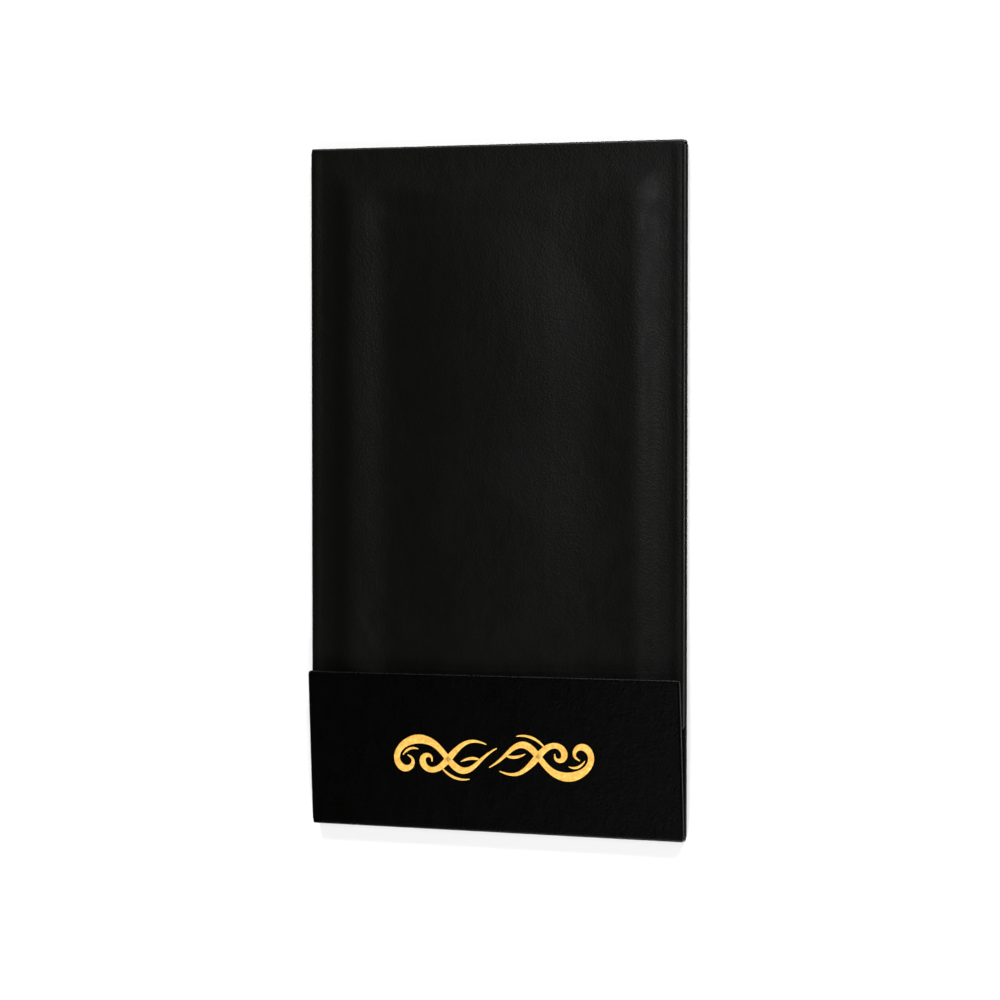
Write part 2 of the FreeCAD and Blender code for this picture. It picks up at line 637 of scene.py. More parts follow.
@dataclass(frozen=True)
class FoamSheet:
    """Pale polyurethane foam with open cells."""

    name: str
    dark: Colour = (0.38, 0.37, 0.33)
    light: Colour = (0.68, 0.67, 0.62)
    cells_per_metre: float = 1600.0
    cell_depth: float = 0.12 * MM
    cell_band: Band = (0.1, 0.7)
    roughness: float = 0.85
    roughness_gain: float = 0.1

    def material(self) -> bpy.types.Material:
        """Builds the material.

        Returns:
            The foam.
        """
        paint = Paint(self.name)
        cells = paint.node("TexVoronoi", {}, {"Vector": paint.place, "Scale": self.cells_per_metre})
        tone = paint.levels(cells, *self.cell_band)
        return paint.dress(
            {
                "Base Color": paint.mix(tone, self.dark, self.light),
                "Roughness": cells * self.roughness_gain + self.roughness,
                "Normal": paint.relief(cells, self.cell_depth),
            }
        )


@dataclass(frozen=True)
class GoldFoil:
    """Hot-stamped gold foil that takes up the grain under it."""

    name: str
    deep: Colour = (0.74, 0.33, 0.035)
    bright: Colour = (1.0, 0.66, 0.16)
    grain_per_metre: float = 1300.0
    grain_depth: float = 0.035 * MM
    wear_per_metre: float = 650.0
    wear_band: Band = (0.35, 0.68)
    wear_share: float = 0.7
    grain_share: float = 0.3
    metal: float = 0.35
    roughness: float = 0.34
    roughness_gain: float = 0.2

    def material(self) -> bpy.types.Material:
        """Builds the material.

        Returns:
            The foil.
        """
        paint = Paint(self.name)
        grain = paint.node("TexVoronoi", {}, {"Vector": paint.place, "Scale": self.grain_per_metre})
        rubbed = paint.blotches(self.wear_per_metre, detail=3.0)
        wear = paint.levels(rubbed, *self.wear_band)
        tone = wear * self.wear_share + (1 - grain) * self.grain_share
        return paint.dress(
            {
                "Base Color": paint.mix(tone, self.deep, self.bright),
                "Metallic": self.metal,
                "Roughness": (1 - wear) * self.roughness_gain + self.roughness,
                "Normal": paint.relief(1 - grain, self.grain_depth),
            }
        )


@dataclass(frozen=True)
class Finishes:
    """Every finish of the presenter."""

    leather: bpy.types.Material
    # The flap's and bottom fold's finish: the same leatherette with a darker base colour, which is
    # painted shade.
    flap_leather: bpy.types.Material
    lining: bpy.types.Material
    card: bpy.types.Material
    foam: bpy.types.Material
    foil: bpy.types.Material

    @classmethod
    def mixed(cls) -> "Finishes":
        """Builds each material once.

        Returns:
            The finishes.
        """
        return cls(
            leather=Leatherette("leatherette").material(),
            # Painted shade: the same leatherette with a darker base colour and less shine, so that the
            # flap and the bottom fold look darker than the cover.
            flap_leather=Leatherette(
                "leatherette_flap_painted_shade",
                dark=(0.0002, 0.0002, 0.0002),
                light=(0.0004, 0.0004, 0.0003),
                roughness_low=0.24,
                roughness_high=0.33,
                shine=0.07,
            ).material(),
            lining=WovenLining("lining_cloth").material(),
            card=GreyCard("grey_card").material(),
            foam=FoamSheet("foam_sheet").material(),
            foil=GoldFoil("gold_foil").material(),
        )


def dress(piece: Piece, material: bpy.types.Material) -> None:
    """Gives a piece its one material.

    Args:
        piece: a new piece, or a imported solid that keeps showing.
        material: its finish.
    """
    piece.data.materials.clear()
    piece.data.materials.append(material)


def finish_piece(piece: Piece, material: bpy.types.Material, node: str | None) -> None:
    """Settles and dresses a new piece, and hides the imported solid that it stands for.

    Args:
        piece: the new piece.
        material: its finish.
        node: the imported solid, or None where it has none.
    """
    settle(piece)
    dress(piece, material)
    if node:
        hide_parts(node)


# What the panels and folds share


@dataclass(frozen=True)
class Stock:
    """Sizes that the panels and the folds share.

    Edge share and spine share are the most of a wrapped edge's depth and of a spine's doubled
    end that its rounding takes up. A corner's mitre starts corner_reach radii from it. Two
    places closer than touch count as one.
    """

    skin: float = 0.4 * MM
    lining: float = 0.2 * MM
    turn_in: float = 12.0 * MM
    mitre_gap: float = 0.15 * MM
    mitre_least: float = 1.4 * MM
    corner_radius: float = 1.0 * MM
    edge_radius: float = 1.1 * MM
    fold_radius: float = 0.9 * MM
    fold_run: float = 1.6 * MM
    spine_waist: float = 0.35 * MM
    spine_double: float = 0.86 * MM
    spine_turn_in: float = 2.6 * MM
    lining_dip: float = 0.28 * MM
    lining_clearance: float = 0.05 * MM
    lining_round: float = 0.16 * MM
    lining_ease: float = 1.6 * MM
    lining_cell: float = 2.0 * MM
    edge_share: float = 0.46
    spine_share: float = 0.48
    mitre_slope: float = 0.3
    corner_reach: float = 1.05
    corner_play: float = 0.15 * MM
    touch: float = 0.01 * MM


STOCK = Stock()
STAY = Vector((0, 0, 0))


@dataclass
class Outline:
    """A panel seen from its outer face, flat, before any lean.

    The face's level is where the leatherette's outer side lies. Inward is +1 where the card
    lies above that side and -1 where it lies below.
    """

    half: float
    low: float
    high: float
    level: float
    inward: int
    depth: float
    fold_low: bool
    fold_high: bool

    @property
    def face_low(self) -> float:
        """Where the face starts: at the bend of a fold, or at a wrapped edge."""
        return self.low + (STOCK.fold_run if self.fold_low else 0)

    @property
    def face_high(self) -> float:
        """Where the face ends: at the bend of a fold, or at a wrapped edge."""
        return self.high - (STOCK.fold_run if self.fold_high else 0)

    @property
    def middle(self) -> Vector:
        """The middle of the panel's face."""
        return Vector((0, (self.low + self.high) / 2, self.level))

    def rounded(self, point: Vector) -> Vector:
        """A place on the face, drawn in where it lies outside a rounded corner.

        Args:
            point: the place.

        Returns:
            The place itself, or the nearest one on the corner's curve.
        """
        radius = STOCK.corner_radius
        centre = Vector((math.copysign(self.half - radius, point.x), point.y, point.z))
        if not self.fold_low and point.y < self.face_low + radius:
            centre.y = self.face_low + radius
        if not self.fold_high and point.y > self.face_high - radius:
            centre.y = self.face_high - radius
        away = point - centre
        if abs(point.x) < self.half - radius or not away.y or away.length <= radius:
            return point
        return centre + away.normalized() * radius

    def on_fold(self, point: Vector) -> bool:
        """Says whether a point of the rim lies at a fold.

        Args:
            point: a place on the rim.

        Returns:
            True at a fold and False at a wrapped edge.
        """
        near = STOCK.skin / 4
        at_low = self.fold_low and abs(point.y - self.face_low) < near
        at_high = self.fold_high and abs(point.y - self.face_high) < near
        return at_low or at_high

    def sheet(self, name: str, cell: float) -> Piece:
        """The flat sheet of the panel's face.

        Args:
            name: the new object's name.
            cell: the size that its cells have at most.

        Returns:
            The sheet, at the face's level.
        """
        low = Vector((-self.half, self.face_low, self.level))
        high = Vector((self.half, self.face_high, self.level))
        return lattice(name, low, high, cell)


def shift_picked(step_of: Callable[[Vector], Vector]) -> None:
    """Moves each selected point of the edited mesh by a step that depends on its place.

    Args:
        step_of: gives the step from the point's place.
    """
    mesh = bpy.context.edit_object.data
    shape = bmesh.from_edit_mesh(mesh)
    for point in shape.verts:
        if point.select:
            point.co += step_of(point.co)
    bmesh.update_edit_mesh(mesh)


def face_out(piece: Piece, at: Vector, outward: Vector) -> None:
    """Turns all faces of an open sheet the same way.

    Args:
        piece: the sheet.
        at: a place on the sheet.
        outward: where the face nearest to that place is to look.
    """
    with editing(piece, Domain.FACE):
        pick_all()
        bpy.ops.mesh.normals_make_consistent(inside=False)
    nearest = min(piece.data.polygons, key=lambda polygon: (polygon.center - at).length)
    if nearest.normal.dot(outward) < 0:
        with editing(piece, Domain.FACE):
            pick_all()
            bpy.ops.mesh.flip_normals()


def wrap(face: Piece, panel: Outline) -> None:
    """Wraps a face's leatherette round the panel's free edges, turned in behind, and thickens it.

    Args:
        face: the face sheet, one layer, lying where the panel's outer face is.
        panel: the panel that it covers.
    """
    near = STOCK.corner_radius * STOCK.corner_reach
    sunk = panel.level + panel.inward * panel.depth

    def mitred(own: float, other: float) -> float:
        """How far in from one edge a point of the rim goes.

        Args:
            own: its distance from that edge.
            other: its distance from the next edge.

        Returns:
            The way, shorter towards a corner.
        """
        if own >= near:
            return 0.0
        if other >= near:
            return min(STOCK.turn_in, other - STOCK.mitre_gap)
        return STOCK.mitre_least + STOCK.mitre_slope * own - own

    def inward_step(point: Vector) -> Vector:
        """How a point of the rim moves to turn the leatherette in, mitred at the corners.

        Args:
            point: its place.

        Returns:
            The step.
        """
        to_side = panel.half - abs(point.x)
        to_low = math.inf if panel.fold_low else point.y - panel.face_low
        to_high = math.inf if panel.fold_high else panel.face_high - point.y
        aside = mitred(to_side, min(to_low, to_high))
        along = mitred(to_low, to_side) - mitred(to_high, to_side)
        return Vector((-math.copysign(aside, point.x), along, 0))

    reshape(face, panel.rounded)
    with editing(face, Domain.EDGE):
        pick_edges(lambda a, b: not (panel.on_fold(a) and panel.on_fold(b)), rim_only=True)
        extrude_rim(Vector((0, 0, panel.inward * panel.depth)))
        extrude_rim(STAY)
        shift_picked(inward_step)
    with editing(face, Domain.EDGE):
        pick_edges(lambda a, b: _is_hem(a, b, panel, sunk))
        radius = min(STOCK.edge_radius, panel.depth * STOCK.edge_share)
        bpy.ops.mesh.bevel(affect="EDGES", offset=radius, segments=6)
    face_out(face, panel.middle, Vector((0, 0, -panel.inward)))
    thicken(face, STOCK.skin)


def _is_hem(a: Vector, b: Vector, panel: Outline, sunk: float) -> bool:
    """Says whether an edge runs along the top or the foot of a wrapped edge.

    Args:
        a: the edge's one end.
        b: its other end.
        panel: the wrapped panel.
        sunk: the level of the foot.

    Returns:
        True where the leatherette turns over, and nowhere else.
    """
    near = STOCK.touch
    level = abs(a.z - b.z) < near
    on_level = abs(a.z - sunk) < near or abs(a.z - panel.level) < near
    return level and on_level and _on_rim(a, panel) and _on_rim(b, panel)


def _on_rim(point: Vector, panel: Outline) -> bool:
    """Says whether a place lies on the panel's plan outline, rounded corners included.

    Args:
        point: the place.
        panel: the panel.

    Returns:
        True on a wrapped edge or corner.
    """
    radius = STOCK.corner_radius
    low = panel.face_low if not panel.fold_low else -math.inf
    high = panel.face_high if not panel.fold_high else math.inf
    aside = panel.half - abs(point.x)
    along = min(point.y - low, high - point.y)
    if aside < radius and along < radius:
        return math.hypot(radius - aside, radius - along) > radius - STOCK.corner_play
    return min(aside, along) < STOCK.touch


def line_panel(name: str, panel: Outline, inner: float, margin: float, card: Box) -> Piece:
    """The lining of a panel: a thin cloth that dips where the turned-in leatherette ends.

    Args:
        name: the new piece's name.
        panel: the panel that it lines.
        inner: the level of its open side, over the turned-in margins.
        margin: how far it stops short of the wrapped edges.
        card: the lowest and the highest corner of the card that it is glued to.

    Returns:
        The lining, closed and flat.
    """
    low = panel.low + (STOCK.fold_run if panel.fold_low else margin)
    high = panel.high - (STOCK.fold_run if panel.fold_high else margin)
    half = panel.half - margin
    corners = Vector((-half, low, inner)), Vector((half, high, inner))
    sheet = lattice(name, *corners, STOCK.lining_cell)

    def dip(point: Vector) -> Vector:
        """Lowers the cloth towards the card inside the turned-in margins.

        Args:
            point: a place on the flat cloth.

        Returns:
            The place after the dip.
        """
        inside = panel.half - STOCK.turn_in - abs(point.x)
        if not panel.fold_low:
            inside = min(inside, point.y - panel.low - STOCK.turn_in)
        if not panel.fold_high:
            inside = min(inside, panel.high - STOCK.turn_in - point.y)
        depth = STOCK.lining_dip * smooth(inside / STOCK.lining_ease + 0.5)
        return Vector((point.x, point.y, point.z - panel.inward * depth))

    reshape(sheet, dip)
    if panel.fold_low:
        _cover_card_end(sheet, panel, card, -1)
    if panel.fold_high:
        _cover_card_end(sheet, panel, card, 1)
    face_out(sheet, panel.middle, Vector((0, 0, panel.inward)))
    thicken(sheet, STOCK.lining)
    return sheet


def _cover_card_end(sheet: Piece, panel: Outline, card: Box, way: int) -> None:
    """Takes the lining over the card's end at a fold and down to the leatherette.

    Args:
        sheet: the lining, one layer so far.
        panel: the panel that it lines.
        card: the lowest and the highest corner of the card.
        way: +1 at the card's high end and -1 at its low end.
    """
    near = STOCK.touch * 2
    from_y = panel.high - STOCK.fold_run if way > 0 else panel.low + STOCK.fold_run
    card_y = card[1].y if way > 0 else card[0].y
    front = card_y + way * (STOCK.lining + near)
    outer_face = card[0].z if panel.inward > 0 else card[1].z
    foot = outer_face + panel.inward * STOCK.lining_clearance
    hem_top = panel.level + panel.inward * (STOCK.spine_double + STOCK.lining_clearance)
    hem = STOCK.skin - STOCK.lining_clearance
    top = outer_face + panel.inward * (card[1].z - card[0].z + hem)

    def at_front(a: Vector, b: Vector) -> bool:
        """Says whether an edge lies on the cloth's front over the card's end."""
        return abs(a.y - front) < near and abs(b.y - front) < near

    def over_corner(a: Vector, b: Vector) -> bool:
        """Says whether an edge runs along the corner where the cloth turns down."""
        above_foot = min(abs(a.z - foot), abs(b.z - foot)) > near
        return at_front(a, b) and above_foot and abs(a.x - b.x) > near

    def at_start(a: Vector, b: Vector) -> bool:
        """Says whether an edge lies where the flat cloth ends."""
        return abs(a.y - from_y) < near and abs(b.y - from_y) < near

    with editing(sheet, Domain.EDGE):
        pick_edges(at_start, rim_only=True)
        extrude_rim(Vector((0, front - from_y, 0)))
        extrude_rim(STAY)
        shift_picked(lambda point: Vector((0, 0, foot - point.z)))
        pick_edges(over_corner)
        bpy.ops.mesh.bevel(affect="EDGES", offset=STOCK.lining_round, segments=3)
    half = max(abs(point.co.x) for point in sheet.data.vertices)

    def down_side(a: Vector, b: Vector) -> bool:
        """Says whether an edge runs down the cloth's front at one of its sides."""
        return at_front(a, b) and abs(abs(a.x) - half) < near and abs(a.x - b.x) < near

    def beside(point: Vector) -> Vector:
        """How a point of the cloth's side moves a hair outwards, and between hem and card top."""
        level = min(max(point.z, min(hem_top, top)), max(hem_top, top))
        return Vector((math.copysign(near, point.x), 0, level - point.z))

    with editing(sheet, Domain.EDGE):
        pick_edges(down_side, rim_only=True)
        extrude_rim(STAY)
        shift_picked(beside)
        extrude_rim(STAY)
        reach = card[1].x - half - near
        shift_picked(lambda point: Vector((math.copysign(reach, point.x), 0, 0)))


@dataclass
class Bend:
    """Where the leatherette turns from a panel's face into the spine of a fold.

    Outward is +1 at the top end and -1 at the bottom. Up is +1 where the panel's outer face
    looks up and -1 where it looks down. Lean tips the panel about its hinge.
    """

    half: float
    outer: float
    level: float
    outward: int
    up: int
    hinge: Vector
    lean: float = 0.0
    steps: int = 8
    cell: float = 4.0 * MM

    def build(self, name: str, seam: float) -> Piece:
        """Makes the sheet from the panel's end, round the bend and along half the spine.

        Args:
            name: the new piece's name.
            seam: the level where the other half of the spine starts.

        Returns:
            The piece, closed.
        """
        centre = self._centre()
        run_end = self.outer - self.outward * STOCK.fold_run
        low, high = sorted((run_end, centre.y))
        half = self.half - STOCK.spine_waist
        corners = Vector((-half, low, self.level)), Vector((half, high, self.level))
        strip = lattice(name, *corners, self.cell)
        near = STOCK.skin / 8
        angle = (math.pi / 2 - self.lean) * (self.outward * self.up)
        down = Vector((0, -math.sin(self.lean), -math.cos(self.lean))) * self.up
        length = abs(self._leaned(centre).z - seam)

        def at_bend(a: Vector, b: Vector) -> bool:
            """Says whether an edge lies where the bend starts."""
            return abs(a.y - centre.y) < near and abs(b.y - centre.y) < near

        with editing(strip, Domain.EDGE):
            pick_edges(at_bend, rim_only=True)
            bpy.ops.mesh.spin(steps=self.steps, angle=angle, center=centre, axis=(1, 0, 0))
            extrude_rim(down * length)
        self._hem(strip, half, centre, down)
        face_out(strip, Vector((0, run_end, self.level)), Vector((0, 0, self.up)))
        thicken(strip, STOCK.skin)
        if self.lean:
            reshape(strip, self._leaned)
        return strip

    def _hem(self, strip: Piece, half: float, centre: Vector, down: Vector) -> None:
        """Turns the leatherette in along both ends of the spine, so that it lies double there.

        Args:
            strip: the bent sheet.
            half: where its two ends are.
            centre: the bend's centre.
            down: the way from the bend towards the seam.
        """
        near = STOCK.skin / 8
        share = STOCK.spine_double / STOCK.fold_radius

        def core(point: Vector) -> Vector:
            """The nearest place on the line that the bent sheet keeps its radius from.

            Args:
                point: a place on the sheet.

            Returns:
                The place on the line.
            """
            away = point - centre
            along_face = min(0.0, away.y * self.outward)
            along_spine = max(0.0, (away - Vector((away.x, 0, 0))).dot(down))
            if along_face < -near:
                return Vector((point.x, point.y, centre.z))
            return Vector((point.x, centre.y, centre.z)) + down * along_spine

        def at_end(a: Vector, b: Vector) -> bool:
            """Says whether an edge lies on the end of the spine."""
            return abs(abs(a.x) - half) < near and abs(a.x - b.x) < near

        def level_edge(a: Vector, b: Vector) -> bool:
            """Says whether an edge runs along the end of the spine, on one of its two layers."""
            on_end = abs(abs(a.x) - half) < near and abs(abs(b.x) - half) < near
            return on_end and abs((a - core(a)).length - (b - core(b)).length) < near

        with editing(strip, Domain.EDGE):
            pick_edges(at_end, rim_only=True)
            extrude_rim(STAY)
            shift_picked(lambda point: (core(point) - point) * share)
            extrude_rim(STAY)
            shift_picked(lambda point: Vector((-math.copysign(STOCK.spine_turn_in, point.x), 0, 0)))
        with editing(strip, Domain.EDGE):
            pick_edges(level_edge)
            bpy.ops.mesh.bevel(affect="EDGES", offset=STOCK.spine_double * STOCK.spine_share, segments=4)

    def _centre(self) -> Vector:
        """The bend's centre before the lean, placed so that the spine stands upright after it.

        Returns:
            The centre, at the middle of the width.
        """
        radius = STOCK.fold_radius
        rise = self.level - self.up * radius - self.hinge.z
        run = self.outer - self.outward * radius - self.hinge.y
        along = (run + rise * math.sin(self.lean)) / math.cos(self.lean)
        return Vector((0, self.hinge.y + along, self.hinge.z + rise))

    def _leaned(self, point: Vector) -> Vector:
        """A place after the panel's lean about its hinge."""
        return leaned(point, self.hinge, self.lean)

    def ends(self) -> tuple[Vector, Vector]:
        """Where the bend starts on the panel's face and where it ends on the spine.

        Returns:
            Both places, after the lean.
        """
        centre = self._centre()
        start = self._leaned(Vector((0, centre.y, self.level)))
        middle = self._leaned(centre)
        return start, Vector((0, self.outer, middle.z))


def leaned(point: Vector, hinge: Vector, lean: float) -> Vector:
    """A place after a lean about a hinge line along X."""
    turned = Matrix.Rotation(lean, 3, "X") @ (point - hinge)
    return turned + hinge


@dataclass
class Fold:
    """A fold of the leatherette: two bends that meet half way up the spine."""

    name: str
    body: Body
    skin_node: str
    lining_node: str
    back_bend: Bend
    front_bend: Bend
    front_body: Body
    leather: bpy.types.Material
    lining_cell: float = 3.0 * MM
    hollow: float = 0.05 * MM

    def build(self, finishes: Finishes) -> list[Piece]:
        """Makes both halves of the spine and its lining.

        Args:
            finishes: the presenter's finishes.

        Returns:
            The three pieces.
        """
        low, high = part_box(self.skin_node)
        seam = (low.z + high.z) / 2
        back_half = self.back_bend.build(f"{self.name}_leather_back", seam)
        front_half = self.front_bend.build(f"{self.name}_leather_{self.front_body.value}", seam)
        for piece in (back_half, front_half):
            finish_piece(piece, self.leather, self.skin_node)
        start, end = self.back_bend.ends()
        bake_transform(back_half)
        start, end = self.front_bend.ends()
        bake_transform(front_half)
        return [back_half, front_half, self._lining(finishes)]

    def _lining(self, finishes: Finishes) -> Piece:
        """The strip of lining inside the spine, gently hollow between its long edges.

        Args:
            finishes: the presenter's finishes.

        Returns:
            The strip, closed.
        """
        low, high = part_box(self.lining_node)
        height = high.z - low.z
        middle = (low.z + high.z) / 2
        outward = self.back_bend.outward
        glued = high.y if outward > 0 else low.y
        corners = Vector((low.x, -height / 2, 0)), Vector((high.x, height / 2, 0))
        strip = lattice(f"{self.name}_lining", *corners, self.lining_cell)
        with editing(strip, Domain.FACE):
            pick_all()
            bpy.ops.mesh.subdivide(number_cuts=3)

        def stand(point: Vector) -> Vector:
            """Stands the strip up against the spine's inner side.

            Args:
                point: a place on the flat strip.

            Returns:
                The place on the upright strip.
            """
            hollow = self.hollow * math.cos(point.y / height * math.pi)
            inner = glued - outward * (STOCK.lining + hollow)
            return Vector((point.x, inner, middle + point.y))

        reshape(strip, stand)
        face_out(strip, strip.data.vertices[0].co, Vector((0, -outward, 0)))
        thicken(strip, STOCK.lining)
        finish_piece(strip, finishes.lining, self.lining_node)
        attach(strip, self.body.value)
        return strip


@dataclass
class BackPanel:
    """The back: leatherette over card, lined, with a pocket for a payment card."""

    lining_margin: float = 3.0 * MM
    pocket_dip_radius: float = 12.0 * MM
    pocket_dip_depth: float = 7.0 * MM
    pocket_hem: float = 5.0 * MM
    pocket_hem_rise: float = 0.10 * MM
    pocket_hem_step: float = 0.5 * MM
    pocket_seam: float = 2.2 * MM
    pocket_seam_depth: float = 0.12 * MM
    pocket_seam_width: float = 0.7 * MM
    pocket_cloth: float = 0.18 * MM
    pocket_cell: float = 1.0 * MM
    cell: float = 4.0 * MM

    def outline(self) -> Outline:
        """The panel's plan and levels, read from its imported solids.

        Returns:
            The outline.
        """
        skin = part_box("back_skin")
        return Outline(
            half=skin[1].x,
            low=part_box("bottom_fold_skin")[0].y,
            high=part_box("top_fold_skin")[1].y,
            level=skin[0].z,
            inward=1,
            depth=skin[1].z - skin[0].z,
            fold_low=True,
            fold_high=True,
        )

    def build(self, finishes: Finishes) -> list[Piece]:
        """Makes the back's leatherette, lining and pocket, and finishes its card.

        Args:
            finishes: the presenter's finishes.

        Returns:
            The three new pieces.
        """
        panel = self.outline()
        leather = panel.sheet("back_leather", self.cell)
        wrap(leather, panel)
        finish_piece(leather, finishes.leather, "back_skin")
        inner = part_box("back_liner")[1].z
        lining = line_panel("back_lining", panel, inner, self.lining_margin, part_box("back_board"))
        finish_piece(lining, finishes.lining, "back_liner")
        pieces = [leather, lining, self._pocket(finishes)]
        for piece in pieces:
            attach(piece, Body.BACK.value)
        dress(frame["nodes"]["back_board"], finishes.card)
        return pieces

    def _pocket(self, finishes: Finishes) -> Piece:
        """A flat pocket with a hemmed lip, a thumb dip and welded sides.

        Args:
            finishes: the presenter's finishes.

        Returns:
            The pocket, closed.
        """
        low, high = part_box("card_pocket")
        level = high.z
        corners = Vector((*low.xy, level)), Vector((*high.xy, level))
        sheet = lattice("card_pocket_cloth", *corners, self.pocket_cell)
        radius = self.pocket_dip_radius
        centre_y = high.y - self.pocket_dip_depth + radius
        half_dip = math.sqrt(radius ** 2 - (radius - self.pocket_dip_depth) ** 2)

        def drape(point: Vector) -> Vector:
            """Dips the lip for a thumb and presses the cloth down along its welded seam.

            Args:
                point: a place on the flat cloth.

            Returns:
                The place on the pocket.
            """
            dip = 0.0
            if abs(point.x) < half_dip:
                dip = high.y - (centre_y - math.sqrt(radius ** 2 - point.x ** 2))
            share = (point.y - low.y) / (high.y - low.y)
            from_side = min(high.x - abs(point.x), point.y - low.y)
            pressed = bump(from_side - self.pocket_seam, self.pocket_seam_width)
            below_hem = smooth((high.y - self.pocket_hem - point.y) / self.pocket_hem_step)
            sunk = self.pocket_seam_depth * pressed + self.pocket_hem_rise * below_hem
            return Vector((point.x, point.y - dip * share ** 3, level - sunk))

        reshape(sheet, drape)
        thicken(sheet, self.pocket_cloth)
        finish_piece(sheet, finishes.lining, "card_pocket")
        return sheet


@dataclass
class Cover:
    """The padded front cover, which hangs from the top fold.

    The sway gives places across the width and how far the pad is raised there. A wrinkle runs
    from one place to another and is a height tall. What lies further in than bevel_most of the
    bevel counts as the pad's flat, and settle_in is how far in from there its waves are full.
    """

    cell: float = 2.0 * MM
    side_margin: float = 5.8 * MM
    top_margin: float = 7.5 * MM
    end_margin: float = 4.0 * MM
    side_bevel: float = 10.5 * MM
    top_bevel: float = 7.5 * MM
    end_bevel: float = 7.5 * MM
    shoulder: float = 1.0 * MM
    bevel_soft: float = 0.10
    bevel_round: float = 0.3
    bevel_most: float = 0.6
    settle_in: float = 9.0 * MM
    crown_rise: float = 0.30 * MM
    crown_run: float = 45.0 * MM
    cloud_rise: float = 0.16 * MM
    cloud_size: float = 24.0 * MM
    cloud_stretch: float = 0.6
    ripple_rise: float = 0.035 * MM
    ripple_size: float = 7.0 * MM
    ripple_stretch: float = 0.55
    ripple_slice: float = 3.7 * MM
    bead_from_edge: float = 2.0 * MM
    bead_width: float = 1.7 * MM
    bead_rise: float = 0.24 * MM
    bead_end: float = 4.0 * MM
    wrinkle_width: float = 2.2 * MM
    wrinkle_reach: float = 0.6
    lining_margin: float = 3.0 * MM
    foam_cell: float = 4.0 * MM
    foam_edge: float = 0.1 * MM
    foam_share: float = 0.8
    foam_gap: float = 0.5 * MM
    glued_below: float = 0.05
    relax_frames: int = 16
    relax_scale: float = 10.0
    relax_cap: float = 0.20 * MM
    sway: tuple[tuple[float, float], ...] = (
        (-58 * MM, 0.42 * MM),
        (-50 * MM, 0.06 * MM),
        (-42 * MM, -0.54 * MM),
        (-36 * MM, -0.48 * MM),
        (-20 * MM, 0.13 * MM),
        (0 * MM, 0.43 * MM),
        (18 * MM, 0.25 * MM),
        (34 * MM, -0.10 * MM),
        (46 * MM, 0.11 * MM),
        (54 * MM, 0.35 * MM),
    )
    wrinkles: list[tuple[Vector, Vector, float]] = field(
        default_factory=lambda: [
            (Vector((-57, -36)) * MM, Vector((-44, -62)) * MM, 0.10 * MM),
            (Vector((-52, -40)) * MM, Vector((-38, -60)) * MM, -0.08 * MM),
            (Vector((-47, -33)) * MM, Vector((-31, -58)) * MM, 0.07 * MM),
            (Vector((50, 101)) * MM, Vector((36, 88)) * MM, 0.06 * MM),
            (Vector((-50, 101)) * MM, Vector((-37, 86)) * MM, -0.06 * MM),
        ]
    )

    def outline(self) -> Outline:
        """The panel's plan and levels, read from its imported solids.

        Returns:
            The outline.
        """
        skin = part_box("cover_skin")
        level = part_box("cover_board")[1].z + STOCK.skin
        return Outline(
            half=skin[1].x,
            low=skin[0].y,
            high=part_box("top_fold_skin")[1].y,
            level=level,
            inward=-1,
            depth=level - skin[0].z,
            fold_low=False,
            fold_high=True,
        )

    def ramp(self, place: Vector, panel: Outline) -> float:
        """How far up the padding's bevel a place is.

        Args:
            place: the place on the face.
            panel: the cover's outline.

        Returns:
            0 at the bevel's foot and outside it, and 1 at its shoulder and inside it.
        """
        side = (panel.half - self.side_margin - abs(place.x)) / self.side_bevel
        top = (panel.high - self.top_margin - place.y) / self.top_bevel
        end = (place.y - panel.low - self.end_margin) / self.end_bevel
        share = min(side, top, end)
        soft = self.bevel_soft
        held = min(1.0, max(0.0, share))
        foot = soft * math.exp(-((share / soft) ** 2)) * self.bevel_round
        head = soft * math.exp(-(((share - 1) / soft) ** 2)) * self.bevel_round
        return held + foot - head

    def rise(self, place: Vector, panel: Outline) -> float:
        """How high the leatherette stands above its level at a place.

        Args:
            place: the place on the face.
            panel: the cover's outline.

        Returns:
            The height, without the swing.
        """
        up = self.ramp(place, panel)
        inside = min(
            panel.half - self.side_margin - self.side_bevel * self.bevel_most - abs(place.x),
            panel.high - self.top_margin - self.top_bevel * self.bevel_most - place.y,
            place.y - panel.low - self.end_margin - self.end_bevel * self.bevel_most,
        )
        full = smooth(inside / self.settle_in)
        crown = self.crown_rise * smooth(inside / self.crown_run)
        cloudy = Vector((place.x, place.y * self.cloud_stretch, 0)) / self.cloud_size
        rippled = Vector((place.x, place.y * self.ripple_stretch, self.ripple_slice)) / self.ripple_size
        clouds = noise.noise(cloudy) * self.cloud_rise
        ripples = noise.noise(rippled) * self.ripple_rise
        padded = up * self.shoulder + crown + (clouds + ripples) * smooth(up)
        return padded + self._creases(place) * full + self._bead(place, panel)

    def swing(self, place: Vector, panel: Outline) -> float:
        """How far the padding's uneven thickness raises or lowers a place.

        Args:
            place: the place on the face.
            panel: the cover's outline.

        Returns:
            The rise, or below 0 the drop.
        """
        inside = min(panel.high - self.top_margin - place.y, place.y - panel.low - self.end_margin)
        ends = smooth((inside - self.top_bevel * self.bevel_most) / self.settle_in)
        from_side = panel.half - self.side_margin - abs(place.x)
        sides = smooth(from_side / self.side_bevel * 2 - self.bevel_most)
        return flowing(self.sway, place.x) * ends * sides

    def _bead(self, place: Vector, panel: Outline) -> float:
        """The roll along the side edges, where the leatherette lies double.

        Args:
            place: the place on the face.
            panel: the cover's outline.

        Returns:
            The roll's height there.
        """
        from_edge = panel.half - abs(place.x)
        near_top = smooth((panel.high - place.y) / self.bead_end)
        return self.bead_rise * bump(from_edge - self.bead_from_edge, self.bead_width) * near_top

